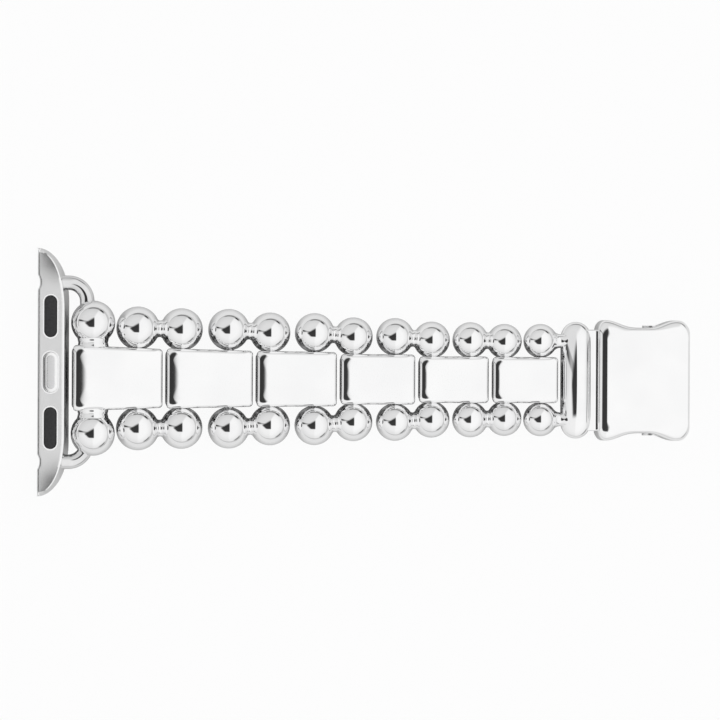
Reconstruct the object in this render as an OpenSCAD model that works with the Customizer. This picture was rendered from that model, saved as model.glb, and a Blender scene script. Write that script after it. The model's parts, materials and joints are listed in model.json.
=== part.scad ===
// Beaded metal watch band, the half that carries the clasp.
// +X runs along the band from the watch to the clasp, +Z is the decorated side, and the band lies
// on Z = 0. The origin is the middle of the slide-in lug, at its underside.

/* [Lug] */
// Length of the slide-in lug from tip to tip
lug_length = 30; // [27:0.5:33]
// Width of the lug from its flat side to the lip that faces the band
lug_width = 3.93; // [3.8:0.01:4.3]
// Height of the lug
lug_height = 3.4; // [3.4:0.05:3.8]
// Width of the flat face that slides in the watch case
rail_width = 3; // [2.9:0.05:3.2]
// Height over which the lip rolls down from the flat face
lip_drop = 1.9; // [1.4:0.1:2.4]
// Length of the curved end at each tip
lug_end_length = 6.4; // [5.5:0.1:7]
// Angle of the curved end at which it is cut off
lug_end_angle = 84; // [80:1:87]
// Angle at which the lip's roll stops
lip_angle = 72; // [60:1:80]
// Bevel round the underside
foot_bevel = 0.35; // [0.1:0.05:0.5]
// Distance between the two notches in the flat side
notch_spacing = 21.7; // [20.5:0.1:22.5]
// Length of a notch along the flat side
notch_length = 1.82; // [1.2:0.02:2.2]
// Depth of a notch
notch_depth = 0.27; // [0.1:0.01:0.3]

/* [Pads and detent] */
// Length of a rubber pad
pad_length = 5; // [4:0.1:5.4]
// Width of a rubber pad
pad_width = 1.5; // [1.2:0.05:1.7]
// Depth of the pocket that holds a pad
pad_depth = 0.9; // [0.5:0.05:1.2]
// How far a pad's face lies below the flat face
pad_recess = 0.08; // [0.02:0.01:0.2]
// Distance between the middles of the two pads
pad_spacing = 13.5; // [13:0.1:14]
// Length of the sprung detent
detent_length = 4.84; // [4:0.02:5]
// Width of the sprung detent
detent_width = 1.76; // [1.4:0.02:1.8]
// Travel of the detent, and its height above the flat face
detent_travel = 0.45; // [0.3:0.05:0.55]
// Width of the step round the detent's raised middle, along its sides
detent_step_width = 0.4; // [0.2:0.05:0.5]
// Length of that step at the detent's ends
detent_step_length = 0.25; // [0.15:0.05:0.9]
// Height of that step
detent_step_height = 0.12; // [0.05:0.01:0.2]
// Thickness of the shoulder that keeps the detent in
shoulder_wall = 0.6; // [0.4:0.05:0.8]
// Thickness of the flange under the detent
flange_wall = 0.5; // [0.3:0.05:0.6]
// Width of that flange beyond the detent, all round
flange_width = 0.3; // [0.2:0.05:0.35]
// Thickness of the plate that closes the detent's pocket
detent_cover_wall = 0.5; // [0.3:0.05:0.6]

/* [Wire loop] */
// Diameter of the loop's wire
wire_d = 1.75; // [1.6:0.01:1.8]
// Distance between the middles of the loop's two legs
loop_width = 21.6; // [21.2:0.1:22]
// Bend radius of the wire, at its middle
loop_bend_r = 2.24; // [2:0.02:2.4]
// Distance from the rail's middle to the loop's bar
loop_offset = 4.55; // [4.5:0.01:4.7]
// Height of the wire's middle
wire_z = 2.05; // [2:0.01:2.1]
// Distance from the rail's middle to the seat of each leg, on the flat side
leg_seat = 0.5; // [0.3:0.05:0.7]
// How far the band lies off the middle of the loop
band_shift = -0.7; // [-0.8:0.05:0]

/* [Beads and pins] */
// Diameter of the first bead, beside the lug
first_bead_d = 5.34; // [5.2:0.01:5.4]
// Diameter of the last bead, beside the clasp
last_bead_d = 4.1; // [3.8:0.01:4.3]
// Distance between the middles of the first two beads, across the band
first_bead_spread = 13.44; // [13.3:0.02:13.6]
// The same across the first pin
first_pin_spread = 12.26; // [12.1:0.02:12.5]
// The same across the last pin
last_pin_spread = 9.46; // [9.2:0.02:9.6]
// Distance from the loop's bar to the middle of the first bead
first_bead_offset = 0.67; // [0.6:0.01:0.72]
// Distance from the first bead to the first pin
first_bead_to_pin = 5.43; // [5.4:0.01:5.6]
// Distance between the two pins of the first bead pair
first_bar_pitch = 5.3; // [5.26:0.01:5.5]
// Distance between the two pins of the last bead pair
last_bar_pitch = 4.14; // [4.05:0.01:4.3]
// Radius of the waist between the two beads of a pair
waist_r = 1; // [0.8:0.02:1.2]
// Diameter of a pin
pin_d = 1.2; // [1:0.02:1.3]
// How far a pin runs past the middle of a bead
pin_past_middle = 0.9; // [0.4:0.05:1.1]
// Radius of the collar that joins a first bead to its block
collar_r = 1.95; // [1.92:0.01:2.1]
// Width of a ring of that collar, from groove to groove
collar_ring_width = 0.55; // [0.5:0.01:0.6]
// Distance from the first groove to the end of the bead's ball
collar_groove_inset = 0.35; // [0.3:0.01:0.4]
// Radius of the grooves between the rings
collar_groove_r = 0.2; // [0.15:0.01:0.25]
// Depth of those grooves
collar_groove_depth = 0.07; // [0.02:0.01:0.1]
// Distance from the middle of a first bead to the flare in its bore, where the wire starts to bend
flare_offset = 1.2; // [1:0.1:1.4]
// Length of that flare
flare_length = 1.5; // [1.3:0.1:1.7]
// How much wider the flare is at its end, on the radius
flare_depth = 0.38; // [0.3:0.02:0.5]

/* [Blocks] */
// Distance between the two pins of the second block
second_block_pitch = 5.73; // [5.7:0.01:5.9]
// Distance between the two pins of the last block
last_block_pitch = 4.38; // [4.3:0.01:4.5]
// How far the first block runs past its pin, towards the clasp
first_overhang = 2.9; // [2.7:0.02:2.96]
// The same on the last block
last_overhang = 2.08; // [1.9:0.02:2.14]
// Gap between the lug and the first block
lug_gap = 0.28; // [0.24:0.01:0.4]
// Gap between neighbouring blocks
block_gap = 0.48; // [0.42:0.01:0.6]
// Height of the first block above the middle of its pin
first_block_rise = 1.7; // [1.4:0.02:1.8]
// Height of the last block above the middle of its pin
last_block_rise = 1.4; // [1.2:0.02:1.5]
// Depth of the first block below the middle of its pin
first_block_drop = 1.95; // [1.9:0.01:2]
// Depth of the last block below the middle of its pin
last_block_drop = 1.45; // [1.2:0.02:1.55]
// How much narrower the first block is at its clasp end, on each side
block_taper = 0.5; // [0.2:0.02:0.6]
// Height of the crown along a block's top
block_crown = 0.12; // [0.02:0.01:0.2]
// Rounding of a block's top edges
top_round = 0.6; // [0.3:0.02:0.7]
// Rounding of a block's lower end edges, which clears the neighbour when the band curls
curl_round = 1.35; // [1.3:0.01:1.4]
// Rounding of a block's lower side edges
side_round = 0.34; // [0.2:0.02:0.36]
// Rounding of a block's corners, seen from above
corner_round = 0.6; // [0.3:0.02:0.8]

/* [Clasp] */
// Distance from the last pin to the middle of the cross bar
cross_bar_offset = 4.3; // [4.22:0.01:4.4]
// Diameter of the cross bar
cross_bar_d = 3.7; // [3.5:0.02:3.76]
// How far each end of the cross bar lies inside the box's bulges
cross_bar_inset = 0.22; // [0.1:0.02:0.4]
// Distance from the middle of the cross bar to the clasp's box
box_offset = 2.5; // [2.3:0.02:2.7]
// How far each side of the web that joins the bar to the box lies inside the box's bulges
web_inset = 1.15; // [1:0.05:1.4]
// Thickness of that web
web_wall = 1.2; // [1:0.05:1.6]
// Length of the box
box_length = 11.2; // [11:0.05:11.6]
// Width of the box at its two bulges
box_bulge_width = 14.54; // [14.3:0.02:14.8]
// Width of the box at its waist
box_waist_width = 12.76; // [12.6:0.02:13]
// Distance from the box's end to its first bulge
bulge_offset = 1; // [0.8:0.02:1.2]
// Distance between the two bulges
bulge_pitch = 8.6; // [8.4:0.05:8.8]
// Rounding of the box's corners beside the cross bar, seen from above
left_corner = 0.8; // [0.5:0.05:0.9]
// The same beside the mouth
right_corner = 1.1; // [0.7:0.05:1.2]
// Height of the box over the base's underside
box_height = 5; // [4.9:0.05:5.4]
// Thickness of the base plate
base_wall = 0.8; // [0.6:0.05:0.9]
// Thickness of the box's end and side walls at the waist
box_wall = 1; // [0.9:0.05:1.1]
// Thickness of the box's top
box_top_wall = 0.9; // [0.7:0.05:1]
// Rounding of the box's top edge
box_round = 0.8; // [0.6:0.05:0.9]
// Height of the crown over that edge
box_crown = 0.1; // [0.05:0.01:0.2]
// Width over which the crown flattens out
crown_width = 1.6; // [1:0.1:2]
// Rounding of the base plate's lower edge
base_round = 0.4; // [0.2:0.05:0.5]
// Width of the mouth that takes the other half's tongue
mouth_width = 9; // [8:0.1:9.4]
// Height of the mouth
mouth_height = 2.5; // [2:0.05:2.7]
// Width of the tenon that fastens the cross bar into the box
tenon_width = 6; // [4:0.1:8]
// Height of that tenon
tenon_height = 1; // [0.8:0.05:1.1]

/* [Push-buttons] */
// Diameter of a push-button
button_d = 2.3; // [2:0.05:2.4]
// Distance from the box's end to the middle of the buttons
button_offset = 6.75; // [6.5:0.05:6.9]
// Height of the buttons' middle
button_z = 2.6; // [2.5:0.05:2.65]
// How far a button stands out of the side wall
button_proud = 0.15; // [0.05:0.01:0.3]
// Travel of a button
button_travel = 0.8; // [0.7:0.05:0.9]
// Thickness of the flange that keeps a button in
button_flange_wall = 0.35; // [0.25:0.05:0.4]
// Width of that flange, all round
button_flange_width = 0.3; // [0.2:0.05:0.35]
// Thickness of the latch arm
latch_wall = 0.5; // [0.4:0.05:0.6]
// Height of the latch arm
latch_height = 2.2; // [1.8:0.05:2.3]
// How far a latch's nose stands out from its arm
nose_height = 0.6; // [0.5:0.05:0.65]
// Length of the nose along the arm
nose_length = 1; // [0.8:0.05:1.2]
// Width of the flat on the nose's tip
nose_tip_width = 0.25; // [0.1:0.05:0.4]
// Diameter of the peg that holds a spring on its button
peg_d = 0.9; // [0.7:0.05:1]
// Thickness of the rib that the two springs push against
rib_wall = 1.2; // [1:0.1:1.6]
// How far that rib runs past a spring at each end
rib_margin = 0.25; // [0.1:0.05:0.4]

/* [Springs] */
// Diameter of the springs' wire
spring_wire_d = 0.22; // [0.18:0.01:0.24]
// Outer diameter of the springs
spring_d = 1.7; // [1.5:0.05:1.8]
// Turns of the detent's spring
detent_spring_turns = 2.2; // [1.8:0.1:2.2]
// Turns of a button's spring
button_spring_turns = 4.5; // [3.5:0.5:5]

/* [Fits] */
// Radial clearance of a pin in a block's bore
pin_clearance = 0.04; // [0.03:0.01:0.06]
// Radial clearance of the loop's bar in the first block and beads
loop_clearance = 0.07; // [0.05:0.01:0.08]
// Gap between a bead and the side of its block
side_gap = 0.06; // [0.04:0.01:0.12]
// Clearance round a part that slides or is set in
slip = 0.05; // [0.03:0.01:0.06]

/* [Hidden] */
$fn = 96;
BLOCKS = 6;
BARS = BLOCKS - 1;
PINS = 2 * BARS + 1;
STATIONS = PINS + 1;
SIDES = ["upper", "lower"];
CORNER_STEPS = 7;
EDGE_STEPS = 6;
TIP_STEPS = 12;
LIP_STEPS = 8;
CROWN_STEPS = 8;
BOX_CORNER_STEPS = 5;
BOX_SIDE_STEPS = 18;
SPRING_RINGS = 8;
SPRING_SIDES = 6;
OVER = 1;
// Keeps two cuts that follow the same side from lying in one plane
SKIN = 0.01;
// How much thinner a neck is than the cross bar it runs into, on the radius
NECK_STEP = 0.05;
// Share of a bevel or roll that draws the lug's tips in
TIP_SHARE = 0.3;
// Shares of the roll of the box's top edge: the end by the bar has all of it
MOUTH_SHARE = 0.3;
BULGE_SHARE = 0.75;
WAIST_SHARE = 0.3;
// Angle at which the box's rounded edge runs into its crown, and how fast the crown flattens
ROLL_ANGLE = 75;
CROWN_POWER = 2.5;
// Makes the box's bulges shorter than the waist between them
BULGE_POWER = 1.6;
// Half the angle of a corner that is as good as straight
STRAIGHT = 89.9;

function sign_of(side) = side == "upper" ? 1 : -1;

// Grading from the lug to the clasp: straight for the beads, eased at both ends for the rest
function straight(first, last, k, count) = first + (last - first) * k / (count - 1);
function eased(first, last, i) = last + (first - last) * (1 + cos(180 * i / (BLOCKS - 1))) / 2;

flat_x = -rail_width / 2;
lug_side_x = flat_x + lug_width;
lip_roll = lug_width - rail_width;
pin_z = first_bead_d / 2;
wire_r = wire_d / 2;
loop_bore_r = wire_r + loop_clearance;
pin_r = pin_d / 2;
pin_bore_r = pin_r + pin_clearance;
first_bead_x = loop_offset + first_bead_offset;

// The stations are the places of the beads: 0 for the first beads, then one for each pin
function bead_r(station) = straight(first_bead_d, last_bead_d, station, STATIONS) / 2;
function bar_pitch(k) = straight(first_bar_pitch, last_bar_pitch, k, BARS);
function block_pitch(i) = straight(second_block_pitch, last_block_pitch, i - 1, BLOCKS - 1);
function pin_x(j) =
    j == 0 ? first_bead_x + first_bead_to_pin :
    pin_x(j - 1) + (j % 2 == 1 ? bar_pitch((j - 1) / 2) : block_pitch(j / 2));
function block_of_pin(j) = ceil(j / 2);
function half_spread(i) = eased(first_pin_spread, last_pin_spread, i) / 2;

// Blocks: ends, sides and heights
function block_right(i) = pin_x(2 * i) + eased(first_overhang, last_overhang, i);
function block_left(i) = i == 0 ? lug_side_x + lug_gap : block_right(i - 1) + block_gap;
function block_length(i) = block_right(i) - block_left(i);
function block_top(i) = pin_z + eased(first_block_rise, last_block_rise, i);
function block_bottom(i) = pin_z - eased(first_block_drop, last_block_drop, i);
function taper_of(i) = block_taper * pow(eased(1, 0, i), 2);
function side_pin(i) = i == 0 ? 0 : 2 * i - 1;
function half_width_at_pin(i) = half_spread(i) - bead_r(side_pin(i) + 1) - side_gap;
function half_width_left(i) = half_width_at_pin(i)
    + taper_of(i) * (pin_x(side_pin(i)) - block_left(i)) / block_length(i);
function taper_angle(i) = atan2(taper_of(i), block_length(i));

// Clasp: the cross bar, then the box with its two bulges and its waist
last_pin_x = pin_x(PINS - 1);
cross_bar_x = last_pin_x + cross_bar_offset;
box_left = cross_bar_x + box_offset;
box_right = box_left + box_length;
button_x = box_left + button_offset;
cavity_half = box_waist_width / 2 - box_wall;
cavity_top = box_height - box_top_wall;
tenon_z = pin_z + web_wall / 2 - tenon_height;
cross_bar_length = box_bulge_width - 2 * cross_bar_inset;
web_width = box_bulge_width - 2 * web_inset;
latch_half = cavity_half - nose_height - slip - latch_wall / 2;
latch_right = box_right - box_wall - 2 * slip;
spring_room = latch_half - latch_wall / 2 - rib_wall / 2;
peg_length = spring_room - button_travel - slip;

// 1 at the middle of a bulge and 0 at the waist
function bulge(x) = pow((1 + cos(360 * (x - box_left - bulge_offset) / bulge_pitch)) / 2, BULGE_POWER);
function box_half_width(x) = (box_waist_width + (box_bulge_width - box_waist_width) * bulge(x)) / 2;

// A closed solid through rings that all have the same number of points
module loft(rings) {
    n = len(rings[0]);
    last = len(rings) - 1;
    sides = [
        for (r = [0:last - 1], i = [0:n - 1])
            let (j = (i + 1) % n, a = r * n + i, b = r * n + j, c = a + n, d = b + n)
            each [[a, c, b], [b, c, d]]
    ];
    caps = [[for (i = [0:n - 1]) i], [for (i = [n - 1:-1:0]) last * n + i]];
    polyhedron(points = [for (ring = rings) each ring], faces = concat(sides, caps), convexity = 6);
}

// The corners of a convex outline, drawn anticlockwise, rounded by an arc of each corner's radius
function rounded(points, radii) = [
    for (i = [0:len(points) - 1])
        let (p = points[i], a = points[(i + len(points) - 1) % len(points)],
            b = points[(i + 1) % len(points)], u = (a - p) / norm(a - p), v = (b - p) / norm(b - p),
            half = acos(u * v) / 2, r = radii[i])
        each r == 0 || half > STRAIGHT ? [p] :
            let (centre = p + (u + v) / norm(u + v) * r / sin(half), start = p + u * r / tan(half) - centre,
                from = atan2(start.y, start.x))
            [for (k = [0:CORNER_STEPS]) centre
                + r * [cos(from + (180 - 2 * half) * k / CORNER_STEPS),
                    sin(from + (180 - 2 * half) * k / CORNER_STEPS)]]
];

// A slot-shaped block, long side along Y, standing on z = 0
module pill(length, width, height) {
    linear_extrude(height) {
        square([width, length - width], center = true);
        for (end = [-1, 1]) translate([0, end * (length - width) / 2]) circle(d = width);
    }
}

module along_x(x, y, z, length, r) {
    translate([x, y, z]) rotate([0, 90, 0]) cylinder(r = r, h = length);
}

module along_y(x, y, z, length, r) {
    translate([x, y, z]) rotate([-90, 0, 0]) cylinder(r = r, h = length);
}

module box_between(low, high) {
    translate(low) cube(high - low);
}

// One ring of the lug: its outline at height z, drawn in by inset on the curved side and the tips
function lug_ring(inset, z) =
    let (across = lug_width - inset, middle = lug_length / 2 - TIP_SHARE * inset - lug_end_length,
        angles = [for (k = [0:TIP_STEPS]) lug_end_angle * k / TIP_STEPS],
        tip = middle + lug_end_length * sin(lug_end_angle))
    concat(
        [for (a = angles) [flat_x + across * cos(a - lug_end_angle),
            -middle + lug_end_length * sin(a - lug_end_angle), z]],
        [for (a = angles) [flat_x + across * cos(a), middle + lug_end_length * sin(a), z]],
        [[flat_x, tip, z], [flat_x, -tip, z]]
    );

function lip_ring(angle) =
    lug_ring(lip_roll * (1 - cos(angle)) / (1 - cos(lip_angle)),
        lug_height - lip_drop + lip_drop * sin(angle) / sin(lip_angle));

detent_flange_length = detent_length + 2 * flange_width;
detent_flange_width = detent_width + 2 * flange_width;
detent_flange_z = lug_height - shoulder_wall - slip - flange_wall;
detent_rise = lug_height + detent_travel - detent_flange_z;

module lug_body() {
    notch_r = (pow(notch_length / 2, 2) + pow(notch_depth, 2)) / (2 * notch_depth);
    color("#d5d6d8") difference() {
        loft(concat(
            [lug_ring(foot_bevel, 0), lug_ring(foot_bevel / 4, foot_bevel / 4), lug_ring(0, foot_bevel)],
            [for (k = [0:LIP_STEPS]) lip_ring(lip_angle * k / LIP_STEPS)]));
        for (side = [-1, 1]) {
            translate([flat_x + notch_depth - notch_r, side * notch_spacing / 2, -OVER])
                cylinder(r = notch_r, h = lug_height + 2 * OVER);
            translate([0, side * pad_spacing / 2, lug_height - pad_depth])
                pill(pad_length + 2 * slip, pad_width + 2 * slip, pad_depth + OVER);
            along_x(-leg_seat, side * loop_width / 2, wire_z, lug_width + OVER, wire_r + slip / 2);
        }
        translate([0, 0, -OVER])
            pill(detent_length + 2 * slip, detent_width + 2 * slip, lug_height + 2 * OVER);
        translate([0, 0, -OVER])
            pill(detent_flange_length + 2 * slip, detent_flange_width + 2 * slip,
                lug_height - shoulder_wall + OVER);
    }
}

module lug_pad(side) {
    color("#2c2d2f") translate([0, sign_of(side) * pad_spacing / 2, lug_height - pad_depth])
        pill(pad_length, pad_width, pad_depth - pad_recess);
}

module lug_detent() {
    color("#c4c5c8") {
        translate([0, 0, detent_flange_z]) {
            pill(detent_flange_length, detent_flange_width, flange_wall);
            pill(detent_length, detent_width, detent_rise - detent_step_height);
            pill(detent_length - 2 * detent_step_length, detent_width - 2 * detent_step_width, detent_rise);
        }
    }
}

module lug_detent_cover() {
    color("#b9babd")
        pill(detent_flange_length + slip, detent_flange_width + slip, detent_cover_wall);
}

module wire_loop() {
    leg_y = loop_width / 2;
    bend_x = loop_offset - loop_bend_r;
    straight_half = leg_y - loop_bend_r;
    color("#c9cacd") {
        for (side = [-1, 1]) {
            along_x(-leg_seat, side * leg_y, wire_z, bend_x + leg_seat, wire_r);
            translate([bend_x, side * straight_half, wire_z]) rotate([0, 0, side < 0 ? -90 : 0])
                rotate_extrude(angle = 90) translate([loop_bend_r, 0]) circle(wire_r);
        }
        along_y(loop_offset, -straight_half, wire_z, 2 * straight_half, wire_r);
    }
}

// A bead with the collar that is soldered to the first block, bored off centre for the loop's bar
module first_bead(side) {
    s = sign_of(side);
    r = bead_r(0);
    color("silver") translate([first_bead_x, band_shift + s * first_bead_spread / 2, pin_z])
        rotate([s * 90, 0, 0]) difference() {
            rotate_extrude() difference() {
                union() {
                    intersection() {
                        circle(r);
                        translate([0, -r]) square(2 * r);
                    }
                    square([collar_r, first_bead_spread / 2]);
                }
                for (k = [0, 1])
                    translate([collar_r + collar_groove_r - collar_groove_depth,
                        r - collar_groove_inset + collar_ring_width * k]) circle(collar_groove_r);
            }
            translate([-first_bead_offset, s * (wire_z - pin_z), 0]) {
                translate([0, 0, -r - OVER]) cylinder(r = loop_bore_r, h = first_bead_spread);
                translate([0, 0, -flare_offset - flare_length])
                    cylinder(r1 = loop_bore_r + flare_depth, r2 = loop_bore_r, h = flare_length);
            }
            translate([block_left(0) - first_bead_x, 0, first_bead_spread / 2 - half_width_left(0)])
                rotate([0, -taper_angle(0), 0]) translate([-3 * r, -3 * r, 0]) cube(9 * r);
        }
}

// The box that rounds one long side of a block, along the block's own tapered side
module side_rounding(i, s) {
    low = block_bottom(i) - pin_z;
    high = block_top(i) - pin_z;
    back = -3 * half_width_left(i);
    translate([block_left(i), band_shift + s * (half_width_left(i) + SKIN), pin_z])
        rotate([0, 0, -s * taper_angle(i)])
        translate([-OVER, 0, 0]) rotate([90, 0, 90])
        linear_extrude(block_length(i) + 2 * OVER)
        scale([s, 1])
        polygon(rounded([[back, low], [0, low], [0, high], [back, high]], [0, side_round, top_round, 0]));
}

module block(i) {
    x0 = block_left(i);
    x1 = block_right(i);
    z0 = block_bottom(i);
    z1 = block_top(i);
    wide = half_width_left(i);
    narrow = wide - taper_of(i);
    crown = [
        for (k = [CROWN_STEPS - 1:-1:1]) let (u = 2 * k / CROWN_STEPS - 1)
            [x0 + (x1 - x0) * k / CROWN_STEPS, z1 - block_crown * pow(u, 4)]
    ];
    color("silver") intersection() {
        translate([0, band_shift + wide + OVER, 0]) rotate([90, 0, 0])
            linear_extrude(2 * (wide + OVER)) difference() {
                polygon(rounded(
                    concat([[x0, z0], [x1, z0], [x1, z1 - block_crown]], crown, [[x0, z1 - block_crown]]),
                    concat([curl_round, curl_round, top_round], [for (p = crown) 0], [top_round])));
                for (j = i == 0 ? [0] : [2 * i - 1, 2 * i])
                    translate([pin_x(j), pin_z]) circle(pin_bore_r);
                if (i == 0) translate([loop_offset, wire_z]) circle(loop_bore_r);
            }
        translate([0, band_shift, z0 - OVER]) linear_extrude(z1 - z0 + 2 * OVER)
            polygon(rounded([[x0, -wide], [x1, -narrow], [x1, narrow], [x0, wide]],
                [for (k = [0:3]) corner_round]));
        side_rounding(i, 1);
        side_rounding(i, -1);
    }
}

// The fillet between two beads of radius r1 and r2 that lie pitch apart, as a profile beside the axis
module waist_profile(r1, r2, pitch) {
    r = (r1 + r2) / 2;
    fillet = (pow(pitch / 2, 2) + pow(waist_r, 2) - pow(r, 2)) / (2 * (r - waist_r));
    along = (pow(pitch, 2) + (r1 - r2) * (r1 + r2 + 2 * fillet)) / (2 * pitch);
    out = sqrt(pow(r1 + fillet, 2) - pow(along, 2));
    share1 = r1 / (r1 + fillet);
    share2 = r2 / (r2 + fillet);
    difference() {
        polygon([[0, 0], [out, along] * share1, [out, along],
            [out * share2, pitch - (pitch - along) * share2], [0, pitch]]);
        translate([out, along]) circle(fillet);
    }
}

// A bead at each end of the neck, or only the first one where the neck runs into a bar
module dumbbell(r1, r2, pitch, last_bead = true) {
    rotate([0, 90, 0]) rotate_extrude() {
        intersection() {
            union() {
                circle(r1);
                if (last_bead) translate([0, pitch]) circle(r2);
            }
            translate([0, -2 * r1]) square([2 * r1, pitch + 4 * r1]);
        }
        waist_profile(r1, r2, pitch);
    }
}

// The blind bore in a bead for the end of pin j
module pin_seat(j, s) {
    y = half_spread(block_of_pin(j));
    start = y - 2 * bead_r(j + 1);
    translate([pin_x(j), band_shift + s * start, pin_z]) rotate([-s * 90, 0, 0])
        cylinder(r = pin_r, h = y + pin_past_middle - start);
}

module barbell(k, side) {
    s = sign_of(side);
    a = [pin_x(2 * k), half_spread(k)];
    b = [pin_x(2 * k + 1), half_spread(k + 1)];
    color("silver") difference() {
        translate([a.x, band_shift + s * a.y, pin_z])
            rotate([0, 0, s * atan2(b.y - a.y, b.x - a.x)])
            dumbbell(bead_r(2 * k + 1), bead_r(2 * k + 2), norm(b - a));
        pin_seat(2 * k, s);
        pin_seat(2 * k + 1, s);
    }
}

module pin(j) {
    half = half_spread(block_of_pin(j)) + pin_past_middle;
    color("#9a9ca0") along_y(pin_x(j), band_shift - half, pin_z, 2 * half, pin_r);
}

// The end link: cross bar, two necked beads and the web that meets the clasp's box
module end_link() {
    y = half_spread(BLOCKS - 1);
    bar_r = cross_bar_d / 2;
    bar_straight = cross_bar_length - cross_bar_d;
    color("silver") difference() {
        union() {
            translate([cross_bar_x, band_shift, pin_z]) {
                along_y(0, -bar_straight / 2, 0, bar_straight, bar_r);
                for (s = [-1, 1]) translate([0, s * bar_straight / 2, 0]) sphere(bar_r);
            }
            for (s = [-1, 1]) translate([last_pin_x, band_shift + s * y, pin_z])
                dumbbell(bead_r(STATIONS - 1), bar_r - NECK_STEP, cross_bar_offset, false);
            box_between([cross_bar_x, band_shift - web_width / 2, pin_z - web_wall / 2],
                [box_left, band_shift + web_width / 2, pin_z + web_wall / 2]);
            box_between([cross_bar_x, band_shift - tenon_width / 2, tenon_z],
                [box_left + box_wall, band_shift + tenon_width / 2, tenon_z + tenon_height]);
        }
        for (s = [-1, 1]) pin_seat(PINS - 1, s);
    }
}

// The box's outline at height z, drawn in by inset: fully at the left, less at the sides and mouth
function box_ring(inset, z) =
    let (x0 = box_left + inset, x1 = box_right - MOUTH_SHARE * inset,
        quarter = [for (k = [0:BOX_CORNER_STEPS]) 90 * k / BOX_CORNER_STEPS],
        edge = concat(
            [for (a = quarter) [x0 + left_corner * (1 - cos(a)), -left_corner * (1 - sin(a))]],
            [for (k = [1:BOX_SIDE_STEPS - 1])
                [x0 + left_corner + (x1 - x0 - left_corner - right_corner) * k / BOX_SIDE_STEPS, 0]],
            [for (k = [BOX_CORNER_STEPS:-1:0]) let (a = quarter[k])
                [x1 - right_corner * (1 - cos(a)), -right_corner * (1 - sin(a))]]),
        half = [for (p = edge) [p.x, box_half_width(p.x) + p.y
            - inset * (WAIST_SHARE + (BULGE_SHARE - WAIST_SHARE) * bulge(p.x))]])
    concat(
        [for (p = half) [p.x, band_shift - p.y, z]],
        [for (k = [len(half) - 1:-1:0]) [half[k].x, band_shift + half[k].y, z]]
    );

module button_hole(s, r, from, to) {
    translate([button_x, band_shift + s * from, button_z]) rotate([-s * 90, 0, 0])
        cylinder(r = r, h = to - from);
}

// The cover's rounded edge, by its angle, and the crown inside it, from 0 at the edge to 1 where it is flat
function roll_ring(a) =
    box_ring(box_round * (1 - cos(a)), box_height - box_crown - box_round * (1 - sin(a)));
function crown_ring(u) =
    box_ring(box_round * (1 - cos(ROLL_ANGLE)) + crown_width * u,
        box_height - (box_crown + box_round * (1 - sin(ROLL_ANGLE))) * pow(1 - u, CROWN_POWER));

module clasp_cover() {
    color("silver") difference() {
        loft(concat(
            [box_ring(0, base_wall)],
            [for (k = [0:EDGE_STEPS - 1]) roll_ring(ROLL_ANGLE * k / EDGE_STEPS)],
            [for (u = [0, 0.3, 0.65, 1]) crown_ring(u)]));
        box_between([box_left + box_wall, band_shift - cavity_half, base_wall - OVER],
            [box_right - box_wall, band_shift + cavity_half, cavity_top]);
        box_between([box_right - 2 * box_wall, band_shift - mouth_width / 2, base_wall - OVER],
            [box_right + OVER, band_shift + mouth_width / 2, base_wall + mouth_height]);
        box_between([box_left - OVER, band_shift - tenon_width / 2 - slip, tenon_z - slip],
            [box_left + 2 * box_wall, band_shift + tenon_width / 2 + slip, tenon_z + tenon_height + slip]);
        for (s = [-1, 1]) button_hole(s, button_d / 2 + slip, cavity_half - OVER, box_bulge_width);
    }
}

module clasp_base_plate() {
    rib_half = spring_d / 2 + rib_margin;
    rib_top = button_z + spring_d / 2 + slip;
    color("#c9cacd") {
        loft(concat(
            [for (a = [0:30:90]) box_ring(base_round * (1 - sin(a)), base_round * (1 - cos(a)))],
            [box_ring(0, base_wall)]));
        box_between([button_x - rib_half, band_shift - rib_wall / 2, base_wall / 2],
            [button_x + rib_half, band_shift + rib_wall / 2, rib_top]);
    }
}

// A push-button with its flange, latch arm, nose and spring peg, drawn for the upper side
module push_button(side) {
    s = sign_of(side);
    head_end = box_half_width(button_x) + button_proud;
    arm_z = button_z - latch_height / 2;
    nose_left = latch_right - nose_length;
    arm_out = latch_half + latch_wall / 2;
    color("#c9cacd") translate([0, band_shift, 0]) mirror([0, s < 0 ? 1 : 0, 0]) {
        along_y(button_x, latch_half, button_z, head_end - latch_half, button_d / 2);
        along_y(button_x, cavity_half - slip - button_flange_wall, button_z, button_flange_wall,
            button_d / 2 + button_flange_width);
        box_between([button_x - button_d / 2, latch_half - latch_wall / 2, arm_z],
            [latch_right, arm_out, arm_z + latch_height]);
        along_y(button_x, latch_half - latch_wall / 2 - peg_length, button_z,
            peg_length + latch_wall / 2, peg_d / 2);
        translate([0, 0, arm_z]) linear_extrude(latch_height)
            polygon([[nose_left, latch_half], [latch_right, latch_half], [latch_right, arm_out],
                [nose_left + nose_tip_width, arm_out + nose_height], [nose_left, arm_out + nose_height]]);
    }
}

// Springs: one unbroken tube wound from a formula
function coil_centre(length, turns, u) =
    let (r = (spring_d - spring_wire_d) / 2)
    [r * cos(360 * turns * u), r * sin(360 * turns * u),
        spring_wire_d / 2 + (length - spring_wire_d) * u];

function coil_ring(length, turns, u) =
    let (c = coil_centre(length, turns, u), a = 360 * turns * u)
    [for (i = [0:SPRING_SIDES - 1])
        let (b = -360 * i / SPRING_SIDES, r = spring_wire_d / 2)
        c + r * [cos(a) * cos(b), sin(a) * cos(b), sin(b)]];

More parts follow.
